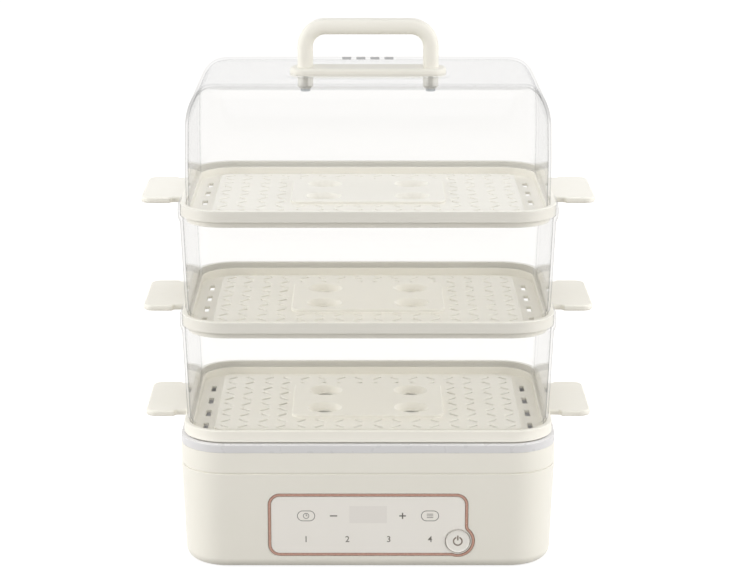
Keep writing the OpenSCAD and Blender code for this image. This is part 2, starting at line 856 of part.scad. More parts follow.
// The wall stands in the tray rim at from_z and flares into a lip round the tray at to_z.
function ring_section(from_z, to_z) = [
    [foot_e, from_z - seat_depth], [wall_top_e, to_z - skirt_h - 5],
    [corner_r, to_z - skirt_h - 1], [corner_r, to_z - 5], [corner_r - 0.6, to_z],
    [lip_in, to_z], [lip_in, to_z - skirt_h], [shelf_in_e, to_z - skirt_h],
    [foot_in_e, from_z - seat_depth]];

module window_ring(from_z) {
    to_z = from_z + tier_pitch;
    notch_z = to_z - tab_drop - tab_t - lip_notch;
    color(clear) difference() {
        sweep_round(core_x, tier_core_y) polygon(ring_section(from_z, to_z));
        for (side = [-1, 1])
            box([12, neck_l + 2 * lip_notch, 20], [side * (core_x + corner_r), 0, notch_z]);
    }
}

module window_ring_1() { window_ring(rim_1_z); }
module window_ring_2() { window_ring(rim_2_z); }

// ---------- lid ----------

lid_foot_z = rim_3_z - seat_depth;
lid_belly_z = rim_3_z + 33;
lid_top_e = foot_e - 0.5;
handle_seat_d = 2;
handle_seat_z = lid_top_z - handle_seat_d;
plate_core = [plate_l / 2 - 14, plate_d / 2 - 14];
boss_r = 6.5;
boss_z = handle_seat_z - 11.4;
leg_x = grip_w / 2 - grip_t / 2;

function lid_skin(inset) = concat(
    [[foot_e - inset, lid_foot_z], [foot_e + 0.2 - inset, lid_belly_z]],
    [for (a = [0:15:90])
        [lid_top_e - lid_round_w + (lid_round_w - inset) * cos(a),
         lid_top_z - lid_round_h + (lid_round_h - inset) * sin(a)]],
    [[0, lid_top_z - inset]]);

function reversed(list) = [for (i = [len(list) - 1:-1:0]) list[i]];

module lid() {
    color(clear) difference() {
        union() {
            sweep_round(core_x, tier_core_y)
                polygon(concat(lid_skin(0), reversed(lid_skin(lid_wall))));
            box([2 * core_x, 2 * tier_core_y, lid_wall], [0, 0, lid_top_z - lid_wall]);
            slab(plate_core[0], plate_core[1], 17, handle_seat_z - lid_wall, lid_top_z - 0.1);
            for (side = [-1, 1])
                rod(boss_r, boss_z, handle_seat_z - eps, [side * leg_x, 0]);
        }
        slab(plate_core[0], plate_core[1], 14.4, handle_seat_z, lid_top_z + 1);
        for (side = [-1, 1])
            rod(screw_r + 0.2, boss_z - 1, lid_top_z, [side * leg_x, 0]);
        for (i = [-1.5:1.5])
            box([vent_l, vent_w, 9], [i * 12.6, tier_core_y + 13, lid_top_z - 7]);
    }
}

// ---------- lid handle ----------

plate_top = handle_seat_z + plate_t;
grip_top = plate_top + grip_h;
bend_r = grip_r - grip_t / 2;
grip_corner = 5;
washer_t = 1;
handle_grip = 16;

module grip_section() {
    rounded(grip_t, grip_d, grip_corner);
}

module handle_plate() {
    edge = 2.4;
    color(ivory) difference() {
        union() {
            sweep_round(plate_core[0], plate_core[1]) polygon(concat(
                [[0, handle_seat_z], [14 - edge / 2, handle_seat_z],
                 [14, handle_seat_z + edge / 2]],
                [for (a = [0:30:90]) [14 - edge + edge * cos(a), plate_top - edge + edge * sin(a)]],
                [[0, plate_top]]));
            box([2 * plate_core[0], 2 * plate_core[1], plate_t], [0, 0, handle_seat_z]);
        }
        for (side = [-1, 1])
            rod(screw_r + 0.2, handle_seat_z - 1, plate_top + 1, [side * leg_x, 0]);
    }
}

module lid_handle() {
    color(ivory) difference() {
        union() {
            for (side = [-1, 1]) {
                translate([side * leg_x, 0, plate_top])
                    linear_extrude(grip_h - grip_r) grip_section();
                translate([side * (leg_x - bend_r), 0, grip_top - grip_r])
                    rotate([90, 0, side > 0 ? 0 : 180]) rotate_extrude(angle = 90)
                        translate([bend_r, 0]) grip_section();
            }
            translate([0, 0, grip_top - grip_t / 2]) rotate([0, 90, 0])
                linear_extrude(2 * (leg_x - bend_r), center = true) grip_section();
        }
        for (side = [-1, 1])
            rod(screw_r, plate_top - 1, plate_top + handle_grip + 1, [side * leg_x, 0]);
    }
}

module handle_washers() {
    color(rubber) for (side = [-1, 1]) translate([side * leg_x, 0, 0]) difference() {
        rod(boss_r - 1.3, boss_z - washer_t, boss_z);
        rod(screw_r + 0.2, boss_z - washer_t - 1, boss_z + 1);
    }
}

module handle_screws() {
    color(steel) for (side = [-1, 1]) translate([side * leg_x, 0, 0]) {
        rod(head_r + 0.7, boss_z - washer_t - head_t - 0.6, boss_z - washer_t);
        rod(screw_r - thread_fit, boss_z - washer_t - eps, plate_top + handle_grip);
    }
}

lower_housing();
water_tank();
bottom_plate();
rubber_feet();
bottom_screws();
housing_screws();
cord_gland();
terminal_block();
power_board();
relay();
capacitor();
transformer();
control_board();
board_screws();
display_module();
touch_springs();
power_switch();
buzzer();
button_spring();
control_panel();
panel_trim();
power_button();
heater_plate();
heater_seal();
heating_element();
heater_clamp();
clamp_screws();
thermostat();
thermal_fuse();
heater_leads();
panel_ribbon();
steam_ring();
drip_tray();
steam_tray_1();
window_ring_1();
steam_tray_2();
window_ring_2();
steam_tray_3();
lid();
lid_handle();
handle_plate();
handle_washers();
handle_screws();
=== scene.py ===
# %% [markdown]
# # A three-tier electric food steamer
# The real object is a moulded ivory base with a touch panel, three slotted trays, two clear
# rings, a clear lid and a U-shaped handle. Its construction and its motion come from the packed
# CAD model, which is loaded first and never changed. What Blender adds is what the eye reads:
# the small roundings that a mould leaves on every edge, and the finish of each plastic and metal.
# All places are in metres in the CAD frame: +Z is up and the control panel faces -Y.

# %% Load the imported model
import math

import bmesh
import bpy
from mathutils import Matrix, Vector


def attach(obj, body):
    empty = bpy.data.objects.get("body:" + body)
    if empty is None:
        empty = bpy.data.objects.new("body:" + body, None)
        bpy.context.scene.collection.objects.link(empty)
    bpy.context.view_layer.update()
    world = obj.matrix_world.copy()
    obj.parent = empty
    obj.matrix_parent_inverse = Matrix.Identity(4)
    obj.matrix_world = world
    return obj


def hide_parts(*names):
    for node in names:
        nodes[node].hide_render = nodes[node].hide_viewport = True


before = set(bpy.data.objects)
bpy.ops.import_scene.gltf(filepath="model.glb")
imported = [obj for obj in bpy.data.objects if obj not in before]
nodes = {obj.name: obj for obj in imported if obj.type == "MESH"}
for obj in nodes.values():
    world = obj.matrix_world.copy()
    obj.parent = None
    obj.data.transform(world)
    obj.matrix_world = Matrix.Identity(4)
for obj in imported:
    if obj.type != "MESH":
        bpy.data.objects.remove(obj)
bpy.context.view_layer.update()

print("CAD nodes:", len(nodes))

# %% [markdown]
# ## Camera
# The photograph was taken from a little above, with a long lens, which keeps upright edges
# nearly parallel. The focal length, the tilt and the distance were worked out by matching the
# edges of the base, the rims and the lid.

# %% Camera
MM = 0.001


def deselect():
    """Leaves object mode with nothing selected, so that an operator acts on one piece only."""
    if bpy.context.object and bpy.context.object.mode != "OBJECT":
        bpy.ops.object.mode_set(mode="OBJECT")
    bpy.ops.object.select_all(action="DESELECT")


EYE = (-0.0026, -2.0158, 0.7209)
TILT = 75.92
deselect()
bpy.ops.object.camera_add(location=EYE, rotation=(math.radians(TILT), 0, 0))
camera = bpy.context.object
camera.data.lens = 116.5
camera.data.sensor_width = 36
bpy.context.scene.camera = camera
print("lens", camera.data.lens, "mm")

# %% [markdown]
# ## Tools for materials
# Every finish is a small graph of nodes. One function turns a sRGB hex colour to linear values,
# because Blender's sockets are linear, and one adds a node with its settings and links. Patterns
# read Object coordinates: they are metres in the CAD frame, so a grain of half a millimetre is
# half a millimetre on every piece, and it doesn't slide when a piece is lifted.

# %% Material tools
def srgb(code):
    """A sRGB hex colour as the linear RGBA that a socket takes."""
    parts = [int(code[i:i + 2], 16) / 255 for i in (1, 3, 5)]
    return [p / 12.92 if p <= 0.04045 else ((p + 0.055) / 1.055) ** 2.4 for p in parts] + [1]


def add(tree, kind, inputs=None, **settings):
    """Adds one node. inputs maps a socket to a value, or to the output that feeds it."""
    made = tree.nodes.new(kind)
    for name, value in settings.items():
        setattr(made, name, value)
    for socket, value in (inputs or {}).items():
        if isinstance(value, bpy.types.NodeSocket):
            tree.links.new(value, made.inputs[socket])
        else:
            made.inputs[socket].default_value = value
    return made


def new_material(name):
    """An empty material with its output and its Object coordinates."""
    material = bpy.data.materials.new(name)
    material.use_nodes = True
    tree = material.node_tree
    tree.nodes.clear()
    output = add(tree, "ShaderNodeOutputMaterial")
    places = add(tree, "ShaderNodeTexCoord").outputs["Object"]
    return material, tree, output.inputs["Surface"], places


def per_mm(size):
    """The scale of a pattern whose features are size millimetres across."""
    return 1 / (size * MM)


def seen_directly(tree):
    """1 for a ray from the camera, off a mirror or through glass, and 0 for one that lights."""
    path = add(tree, "ShaderNodeLightPath")
    total = path.outputs["Is Camera Ray"]
    for name in ("Is Glossy Ray", "Is Transmission Ray"):
        total = add(tree, "ShaderNodeMath", {0: total, 1: path.outputs[name]},
                    operation="MAXIMUM").outputs["Value"]
    return total


# %% [markdown]
# ## Moulded plastics
# Most of the steamer is polypropylene and ABS, injection moulded against a mould that was spark
# eroded to a fine satin. Three things sell it: a very slight change of tone over several
# centimetres where the plastic cooled at different speeds, a grain that breaks up the highlight,
# and a gloss that varies a little where hands polish it. The real grain is about 0.1 mm, which is
# finer than a pixel here, so it is drawn at 0.5 mm and kept shallow. A plain Principled shader
# carries all of it; a layered shader would cost more and show no difference on a satin surface.

# %% Moulded plastics
def moulded(name, low, high, roughness, grain=0.5, relief=0.012):
    """A moulded plastic between two close tones, with a fine grain and an uneven gloss."""
    material, tree, surface, places = new_material(name)
    clouds = add(tree, "ShaderNodeTexNoise",
                 {"Vector": places, "Scale": per_mm(60), "Detail": 3.0, "Roughness": 0.55})
    tone = add(tree, "ShaderNodeMix", {"Factor": clouds.outputs["Fac"], "A": srgb(low),
                                       "B": srgb(high)}, data_type="RGBA")
    spots = add(tree, "ShaderNodeTexNoise",
                {"Vector": places, "Scale": per_mm(9), "Detail": 2.0})
    gloss = add(tree, "ShaderNodeMapRange",
                {"Value": spots.outputs["Fac"], "From Min": 0.3, "From Max": 0.7,
                 "To Min": roughness - 0.04, "To Max": roughness + 0.05})
    pits = add(tree, "ShaderNodeTexNoise",
               {"Vector": places, "Scale": per_mm(grain), "Detail": 1.0})
    bump = add(tree, "ShaderNodeBump",
               {"Height": pits.outputs["Fac"], "Strength": 0.25, "Distance": relief * MM})
    shader = add(tree, "ShaderNodeBsdfPrincipled",
                 {"Base Color": tone.outputs["Result"], "Roughness": gloss.outputs["Result"],
                  "Normal": bump.outputs["Normal"], "IOR": 1.49})
    tree.links.new(shader.outputs["BSDF"], surface)
    return material


# Ivory polypropylene, satin: the base, the trays and the handle. Warm, never pure white.
ivory = moulded("ivory_polypropylene_satin", "#EBE8DE", "#EFECE3", 0.36)
# The juice tray is unpigmented polypropylene with a trace of grey: milky, with a soft edge.
milky = moulded("milky_grey_polypropylene", "#D6D5D6", "#DDDCDD", 0.3)
# Silicone feet, cord bush and washers: matt and a little grey.
silicone = moulded("pale_silicone_rubber", "#C9C6BE", "#D3D0C8", 0.62, grain=0.8)
# ABS of the power button, smoother than the housing around it.
button_abs = moulded("ivory_abs_polished", "#EFECE6", "#F3F0EA", 0.24, relief=0.006)
# Glass-filled nylon of relay, switch, buzzer and display housing.
dark_nylon = moulded("charcoal_nylon", "#2E2E30", "#39393B", 0.5, relief=0.02)
# Natural nylon of the terminal block and the fuse's sleeve.
pale_nylon = moulded("natural_nylon", "#DDDACE", "#E6E3D8", 0.42)
# Screen-printed ink on the panel: dark warm grey, dead matt.
ink = moulded("screen_printed_ink", "#68635C", "#706B64", 0.55, grain=0.3)
# PVC insulation of the heater's leads.
pvc = moulded("red_pvc_insulation", "#A8322C", "#B23C34", 0.4)
print("moulded plastics: 8")

# %% [markdown]
# ## Clear plastic
# Lid and rings are clear copolyester, moulded in polished steel. Against a white studio it all
# but vanishes: what is left is a thin grey line wherever the eye looks along a wall, and a faint
# veil over what stands behind. In a real studio that line is the dark room mirrored in the
# steepest part of the curve. This studio is white all round, so that reflection is painted: a
# dark tint that grows as the surface turns away from the eye. A curve throws more light aside
# than a flat wall, so the painted reflection is full at the front corners, less on the lid's
# rounding and at the rear corners, and least on the flat walls.
#
# The walls are 2 mm thin and even, so they shift what stands behind them by less than a pixel: a
# Transparent shader under a mirror shows the same as glass that bends light, and it lets the
# lamps through as the real wall does. The mirror's share follows Schlick's curve. It is left out
# inside the wall, where light that isn't bent would be caught for ever, and for rays that only
# bring light, because it would leave the grooves too dark. A slight waviness stands for the flow
# of the plastic in its mould. The screw posts are left matt by the tool: they scatter light, so
# a diffuse coat takes the mirror's place there. The walls of the vents have that coat too, over
# a dark grey that is painted shade, for the dark that light bent in the walls of a slot gives.

# %% Where the clear walls bend
# How much painted reflection each region of the clear walls shows, and where regions meet, in mm.
FRONT_SHARE, SHOULDER_SHARE, REAR_SHARE, FLAT_SHARE = 1.0, 0.6, 0.4, 0.2
FLAT_TO, CORNER_FROM = 62, 72
WALL_TO, SHOULDER_FROM, SHOULDER_TO, ROOF_FROM = 372, 380, 403, 409


def ramp(tree, places, axis, start, end):
    """0 before start and 1 past end on an axis, in mm, softly. With start over end it falls."""
    axes = add(tree, "ShaderNodeSeparateXYZ", {"Vector": places})
    return add(tree, "ShaderNodeMapRange",
               {"Value": axes.outputs[axis], "From Min": start * MM, "From Max": end * MM},
               interpolation_type="SMOOTHSTEP").outputs["Result"]


def painted_reflection_share(tree, places):
    """The share of the painted reflection that a place shows: the most that any region gives it.
    """
    shoulder = add(tree, "ShaderNodeMath",
                   {0: ramp(tree, places, "Z", WALL_TO, SHOULDER_FROM),
                    1: ramp(tree, places, "Z", ROOF_FROM, SHOULDER_TO)}, operation="MULTIPLY")
    most = FLAT_SHARE
    for region, share in ((ramp(tree, places, "Y", -FLAT_TO, -CORNER_FROM), FRONT_SHARE),
                          (ramp(tree, places, "Y", FLAT_TO, CORNER_FROM), REAR_SHARE),
                          (shoulder.outputs["Value"], SHOULDER_SHARE)):
        part = add(tree, "ShaderNodeMath", {0: region, 1: share}, operation="MULTIPLY")
        most = add(tree, "ShaderNodeMath", {0: most, 1: part.outputs["Value"]},
                   operation="MAXIMUM").outputs["Value"]
    return most


# %% Clear plastic
EDGE_POWER, SCHLICK_POWER = 9.0, 5.0
FACE_ON, GRAZING = 0.04, 0.9


def clear_plastic(name, face, edge, skin, low, high, veil=0.0, coat="ShaderNodeBsdfGlossy"):
    """A clear plastic: see-through colour, painted edge reflection, skin's colour, haze and veil.
    """
    material, tree, surface, places = new_material(name)
    flow = add(tree, "ShaderNodeTexNoise",
               {"Vector": places, "Scale": per_mm(45), "Detail": 1.0})
    bump = add(tree, "ShaderNodeBump",
               {"Height": flow.outputs["Fac"], "Strength": 0.06, "Distance": 0.4 * MM})
    haze = add(tree, "ShaderNodeMapRange",
               {"Value": flow.outputs["Fac"], "To Min": low, "To Max": high})
    turned_away = add(tree, "ShaderNodeLayerWeight", {"Blend": 0.5})
    # Painted reflection: the edge colour takes over as the surface turns away from the eye.
    steep = add(tree, "ShaderNodeMath", {0: turned_away.outputs["Facing"], 1: EDGE_POWER},
                operation="POWER")
    amount = add(tree, "ShaderNodeMath",
                 {0: steep.outputs["Value"], 1: painted_reflection_share(tree, places)}, operation="MULTIPLY")
    tint_and_painted_reflection = add(tree, "ShaderNodeMix", {"Factor": amount.outputs["Value"], "A": srgb(face),
                                       "B": srgb(edge)}, data_type="RGBA")
    open_way = add(tree, "ShaderNodeBsdfTransparent", {"Color": tint_and_painted_reflection.outputs["Result"]})
    mirror = add(tree, coat, {"Color": srgb(skin), "Roughness": haze.outputs["Result"],
                              "Normal": bump.outputs["Normal"]})
    schlick = add(tree, "ShaderNodeMath", {0: turned_away.outputs["Facing"], 1: SCHLICK_POWER},
                  operation="POWER")
    share = add(tree, "ShaderNodeMapRange",
                {"Value": schlick.outputs["Value"], "To Min": max(FACE_ON, veil),
                 "To Max": GRAZING})
    inside = add(tree, "ShaderNodeNewGeometry").outputs["Backfacing"]
    outer = add(tree, "ShaderNodeMath", {0: seen_directly(tree), 1: inside},
                operation="SUBTRACT", use_clamp=True)
    factor = add(tree, "ShaderNodeMath", {0: share.outputs["Result"], 1: outer.outputs["Value"]},
                 operation="MULTIPLY")
    mixed = add(tree, "ShaderNodeMixShader", {0: factor.outputs["Value"],
                                              1: open_way.outputs["BSDF"],
                                              2: mirror.outputs["BSDF"]})
    tree.links.new(mixed.outputs["Shader"], surface)
    return material


# The second colour is the painted reflection: the dark line along the clear walls.
clear = clear_plastic("clear_copolyester_polished", "#FCFCFC", "#1C1C1E", "#FCFCFC", 0.02, 0.05)
frosted = clear_plastic("clear_copolyester_frosted", "#F0F0EF", "#C0C0C0", "#E2E2E0", 0.4, 0.5,
                        0.45, "ShaderNodeBsdfDiffuse")
# The vents' walls: a dark grey painted shade under a diffuse coat.
vent_painted_shade = clear_plastic("clear_copolyester_vent_rim", "#9A9A9B", "#6C6C6E", "#A0A0A0", 0.4, 0.5,
                         0.5, "ShaderNodeBsdfDiffuse")
print("clear plastics:", clear.name, frosted.name, vent_painted_shade.name)

# %% [markdown]
# ## Panel lens
# The touch panel is a sheet of acrylic printed on its back, so the colour lies under a clear
# gloss. A coat over a satin base gives that depth. The display behind it is off: it shows as a
# slightly darker, soft-edged window, made here by a mask on Object coordinates that fades over
# one millimetre, as a diffusing film does.

# %% Panel lens
PANEL_Z = 40.4
LEAN = math.radians(2.2)
FACE_Y = 118 - (87 - PANEL_Z) * math.tan(LEAN)
DISPLAY = {"across": 32, "high": 15.5, "up": 9.4}
FADE = 0.5


def lens_print():
    """A pale print under a clear gloss, a little darker where the display is."""
    material, tree, surface, places = new_material("back_printed_acrylic")
    centred = add(tree, "ShaderNodeMapping",
                  {"Vector": places, "Location": (0, 0, -(PANEL_Z + DISPLAY["up"]) * MM)})
    away = add(tree, "ShaderNodeVectorMath", {0: centred.outputs["Vector"]},
               operation="ABSOLUTE").outputs["Vector"]
    masks = [ramp(tree, away, axis, DISPLAY[size] / 2 + FADE, DISPLAY[size] / 2 - FADE)
             for axis, size in (("X", "across"), ("Z", "high"))]
    window = add(tree, "ShaderNodeMath", {0: masks[0], 1: masks[1]}, operation="MULTIPLY")
    clouds = add(tree, "ShaderNodeTexNoise", {"Vector": places, "Scale": per_mm(40)})
    sheet = add(tree, "ShaderNodeMix", {"Factor": clouds.outputs["Fac"], "A": srgb("#EFEBE4"),
                                        "B": srgb("#F2EFE9")}, data_type="RGBA")
    tone = add(tree, "ShaderNodeMix", {"Factor": window.outputs["Value"],
                                       "A": sheet.outputs["Result"], "B": srgb("#E9E5DF")},
               data_type="RGBA")
    orange_peel = add(tree, "ShaderNodeBump",
                      {"Height": clouds.outputs["Fac"], "Strength": 0.1, "Distance": 0.1 * MM})
    shader = add(tree, "ShaderNodeBsdfPrincipled",
                 {"Base Color": tone.outputs["Result"], "Roughness": 0.34, "Coat Weight": 0.6,
                  "Coat Roughness": 0.08, "Normal": orange_peel.outputs["Normal"]})
    tree.links.new(shader.outputs["BSDF"], surface)
    return material


lens = lens_print()
print("panel face at Y", round(-FACE_Y, 2), "mm")

# %% [markdown]
# ## Metals
# The trim round the panel is plastic plated in rose gold; screws, spring and clips are zinc
# plated steel; the heater plate is a brushed aluminium casting. All are metallic, and what tells
# them apart is their colour and how the surface was worked, so one function takes both: the
# width of its scratches and their direction. Brushing is a noise stretched along one axis.

# %% Metals
def metal(name, low, high, roughness, scratch=0.4, stretch=(1, 1, 1), relief=0.004):
    """A metal between two close tones, with scratches of one width pulled along an axis."""
    material, tree, surface, places = new_material(name)
    pulled = add(tree, "ShaderNodeMapping", {"Vector": places, "Scale": stretch})
    lines = add(tree, "ShaderNodeTexNoise", {"Vector": pulled.outputs["Vector"],
                                             "Scale": per_mm(scratch), "Detail": 2.0})
    tone = add(tree, "ShaderNodeMix", {"Factor": lines.outputs["Fac"], "A": srgb(low),
                                       "B": srgb(high)}, data_type="RGBA")
    gloss = add(tree, "ShaderNodeMapRange",
                {"Value": lines.outputs["Fac"], "To Min": roughness - 0.08,
                 "To Max": roughness + 0.08})
    bump = add(tree, "ShaderNodeBump", {"Height": lines.outputs["Fac"], "Strength": 0.3,
                                        "Distance": relief * MM})
    shader = add(tree, "ShaderNodeBsdfPrincipled",
                 {"Base Color": tone.outputs["Result"], "Metallic": 1.0,
                  "Roughness": gloss.outputs["Result"], "Normal": bump.outputs["Normal"]})
    tree.links.new(shader.outputs["BSDF"], surface)
    return material


# Rose gold plating over polished ABS: pinkish, brighter on its rounded edge.
rose_gold = metal("rose_gold_plating", "#A38275", "#B49386", 0.26, scratch=0.8)
# Smoked nickel plating of the button's ring and sign: brownish grey, darker than the trim.
smoked = metal("smoked_nickel_plating", "#7C736B", "#8A8178", 0.3, scratch=0.8)
# Zinc plated steel: bluish grey, mottled.
zinc = metal("zinc_plated_steel", "#A9ADB0", "#C0C4C6", 0.34, scratch=1.5)
# Brushed cast aluminium of the heater plate, drawn across X.
aluminium = metal("brushed_cast_aluminium", "#A6A9AB", "#BDBFC0", 0.4, scratch=0.5,
                  stretch=(0.03, 1, 1), relief=0.02)
# Bronze spring wire under the touch keys.
spring_wire = metal("spring_bronze", "#B98E5E", "#C79C6C", 0.32)
# Enamelled copper winding of the transformer: fine turns stacked along Z.
winding = metal("enamelled_copper_winding", "#8E5A34", "#B97B4A", 0.35, scratch=0.5,
                stretch=(0.05, 0.05, 1), relief=0.05)
print("metals: 6")

# %% [markdown]
# ## Circuit board
# The boards are glass-epoxy under green solder mask. Copper tracks show through the mask as
# slightly lighter bands that run in straight lines, so a brick pattern serves: its long cells
# are the tracks and its mortar the gaps between them.

# %% Circuit board
def solder_mask():
    """Green lacquer over copper tracks."""
    material, tree, surface, places = new_material("green_solder_mask")
    bricks = add(tree, "ShaderNodeTexBrick",
                 {"Vector": places, "Color1": srgb("#2C6B47"), "Color2": srgb("#347852"),
                  "Mortar": srgb("#225639"), "Scale": per_mm(8), "Mortar Size": 0.02})
    shader = add(tree, "ShaderNodeBsdfPrincipled",
                 {"Base Color": bricks.outputs["Color"], "Roughness": 0.35, "Coat Weight": 0.3})
    tree.links.new(shader.outputs["BSDF"], surface)
    return material


board_green = solder_mask()
print("materials:", len(bpy.data.materials))

# %% [markdown]
# ## Modelling tools
# Nearly every part of a steamer is a wall that runs round a rounded rectangle. A mould maker
# draws its section once, with the fillets, and carries it round. The same works here: one vertex
# is extruded from corner to corner of the section, the corners are bevelled, and the outline is
# spun 90 degrees at a corner and extruded along a side, four times. A cube with bevelled edges
# would be quicker, but it could not hold the grooves and lips that make the tiers fit.

# %% Modelling tools
CORE_X = 120
BASE_CORE_Y = 78
TIER_CORE_Y = 74
CORNER_STEPS = 14


def pick(piece, kind, test):
    """Selects the verts or faces of the piece in edit mode that pass the test."""
    bpy.ops.mesh.select_mode(type=kind[:-1].upper())
    bpy.ops.mesh.select_all(action="DESELECT")
    shape = bmesh.from_edit_mesh(piece.data)
    for item in getattr(shape, kind):
        item.select_set(test(item))
    shape.select_flush_mode()
    bmesh.update_edit_mesh(piece.data)


def work_on(*pieces):
    """Selects these pieces and no other, with the first one active."""
    deselect()
    for piece in pieces:
        piece.select_set(True)
    bpy.context.view_layer.objects.active = pieces[0]


def extrude(x, y, z):
    """Extrudes what is selected by so many mm."""
    bpy.ops.mesh.extrude_region_move(
        TRANSFORM_OT_translate={"value": (x * MM, y * MM, z * MM)})


def draw(name, corners, place, closed=True, segments=4):
    """Draws an outline by extruding a vertex. A corner is (a, b) or (a, b, fillet), in mm."""
    deselect()
    bpy.ops.mesh.primitive_plane_add(size=MM)
    piece = bpy.context.object
    piece.name = piece.data.name = name
    bpy.ops.object.mode_set(mode="EDIT")
    bpy.ops.mesh.select_mode(type="VERT")
    bpy.ops.mesh.select_all(action="SELECT")
    bpy.ops.mesh.merge(type="CENTER")
    points = [Vector(place(c[0], c[1])) * MM for c in corners]
    bpy.ops.transform.translate(value=points[0])
    for here, there in zip(points, points[1:] + points[:1] * closed):
        bpy.ops.mesh.extrude_region_move(TRANSFORM_OT_translate={"value": there - here})
    bpy.ops.mesh.select_all(action="SELECT")
    bpy.ops.mesh.remove_doubles(threshold=MM / 1000)
    for corner, point in zip(corners, points):
        if len(corner) > 2:
            pick(piece, "verts", lambda v: (v.co - point).length < MM / 100)
            bpy.ops.mesh.bevel(offset=corner[2] * MM, segments=segments, affect="VERTICES")
    return piece


def tidy(piece, sides=4):
    """Merges doubles, shuts holes of up to so many sides (0: any), turns the faces outwards and
    leaves edit mode."""
    bpy.ops.mesh.select_all(action="SELECT")
    bpy.ops.mesh.remove_doubles(threshold=MM / 500)
    bpy.ops.mesh.fill_holes(sides=sides)
    bpy.ops.mesh.normals_make_consistent(inside=False)
    bpy.ops.object.mode_set(mode="OBJECT")
    return piece


def carry_round(piece, core_x, core_y):
    """Carries the drawn section round the rounded rectangle, and shuts what is still open."""
    bpy.ops.mesh.select_all(action="SELECT")
    for sx, sy, dx, dy in ((1, 1, -1, 0), (-1, 1, 0, -1), (-1, -1, 1, 0), (1, -1, 0, 1)):
        bpy.ops.mesh.spin(steps=CORNER_STEPS, angle=-math.pi / 2, axis=(0, 0, 1),
                          center=(sx * core_x * MM, sy * core_y * MM, 0))
        extrude(2 * dx * core_x, 2 * dy * core_y, 0)
    return tidy(piece, sides=0)


def swept(name, section, core_x=CORE_X, core_y=TIER_CORE_Y, closed=True, **extra):
    """A wall: its section is (offset from the corner centres, height), in mm."""
    piece = draw(name, section, lambda e, z: (core_x + e, core_y, z), closed, **extra)
    return carry_round(piece, core_x, core_y)


def turned(name, section, at=(0, 0), steps=40):
    """A round solid: its section is (radius, height), from axis to axis, in mm."""
    piece = draw(name, section, lambda r, z: (at[0] + r, at[1], z), closed=False)
    bpy.ops.mesh.select_all(action="SELECT")
    bpy.ops.mesh.spin(steps=steps, angle=-2 * math.pi, axis=(0, 0, 1),
                      center=(at[0] * MM, at[1] * MM, 0))
    return tidy(piece)


def peg(name, radius, low, high, *place):
    """A plain round peg, from low to high, in mm."""
    return turned(name, [(0, low), (radius, low), (radius, high), (0, high)], *place)


def prism(name, corners, low, high, **extra):
    """A plate: an outline in plan, raised from low to high, in mm."""
    piece = draw(name, corners, lambda x, y: (x, y, low), **extra)
    bpy.ops.mesh.select_all(action="SELECT")
    bpy.ops.mesh.edge_face_add()
    extrude(0, 0, high - low)
    return tidy(piece)


def rectangle(width, height, fillet, at=(0, 0)):
    """The corners of a rounded rectangle, for draw or prism."""
    return [(at[0] + sx * width / 2, at[1] + sy * height / 2, fillet)
            for sx, sy in ((1, -1), (1, 1), (-1, 1), (-1, -1))]


def use(piece, kind, **settings):
    """Adds a modifier and applies it."""
    work_on(piece)
    made = piece.modifiers.new(kind.lower(), kind)
    for name, value in settings.items():
        setattr(made, name, value)
    bpy.ops.object.modifier_apply(modifier=made.name)


def soften(piece, width, segments):
    """Rounds the edges that turn by more than 60 degrees."""
    use(piece, "BEVEL", width=width * MM, segments=segments, limit_method="ANGLE",
        angle_limit=math.radians(60))


def combine(piece, other, operation="DIFFERENCE"):
    """Cuts the piece with another one, which is used up, or joins it on by UNION."""
    use(piece, "BOOLEAN", object=other, operation=operation, solver="EXACT")
    bpy.data.objects.remove(other)
    bpy.ops.object.mode_set(mode="EDIT")
    bpy.ops.mesh.select_mode(type="VERT")
    return tidy(piece)


def shift(x, y, z):
    """The matrix that moves by so many mm."""
    return Matrix.Translation((x * MM, y * MM, z * MM))


def copy_of(piece, name, matrix):
    """A copy with its own mesh, moved in the mesh so that its object stays at the origin."""
    made = piece.copy()
    made.data = piece.data.copy()
    made.name = made.data.name = name
    made.data.transform(matrix)
    bpy.context.collection.objects.link(made)
    return made


def together(name, pieces):
    """Joins pieces that don't touch into one."""
    work_on(*pieces)
    bpy.ops.object.join()
    made = bpy.context.object
    made.name = made.data.name = name
    return made


def dress(piece, material, body, slot, *stands_for, smooth=35):
    """Smooths a finished piece, gives it its finish and ties it to its body and CAD nodes."""
    work_on(piece)
    bpy.ops.object.shade_smooth_by_angle(angle=math.radians(smooth))
    use(piece, "WEIGHTED_NORMAL", keep_sharp=True, weight=100)
    piece.data.materials.clear()
    piece.data.materials.append(material)
    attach(piece, body)
    if stands_for:
        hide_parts(*stands_for)
    print(piece.name, len(piece.data.polygons), "faces")


# %% [markdown]
# ## Lower housing
# The lower housing is a bowl without a bottom: a 2.8 mm wall that leans in by two degrees, so
# that it leaves its mould, and turns under with a 9 mm rounding to a lip round the bottom plate.
# A low skirt hides the feet: it stops just above the table, as the photograph shows. Under the
# top edge a groove is left, as moulders do where two shells meet: its shadow line hides any step
# between the two.

# %% Lower housing
SEAM_Z = 87
SEAM_GROOVE = 0.9
SKIRT_Z = 0.6
GLAND = (100, 26)


def on_panel(piece):
    """Moves a piece drawn in the panel's own plan to its place on the leaning front."""
    piece.data.transform(shift(0, -FACE_Y, PANEL_Z)
                         @ Matrix.Rotation(math.pi / 2 + LEAN, 4, "X"))
    return piece


BUTTON = (76.4, -14.7)
PANEL = (170, 56.5, 10)
BUTTON_R = 10.6
BUTTON_HOLE_R = 11
SWELLING_R = BUTTON_R + 3.9
JOINT = 4


def arc(centre, radius, start, end):
    """Points along an arc in degrees, about one for every 6 of them."""
    steps = max(2, round(abs(end - start) / 6))
    angles = [math.radians(start + (end - start) * i / steps) for i in range(steps + 1)]
    return [(centre[0] + radius * math.cos(a), centre[1] + radius * math.sin(a))
            for a in angles]


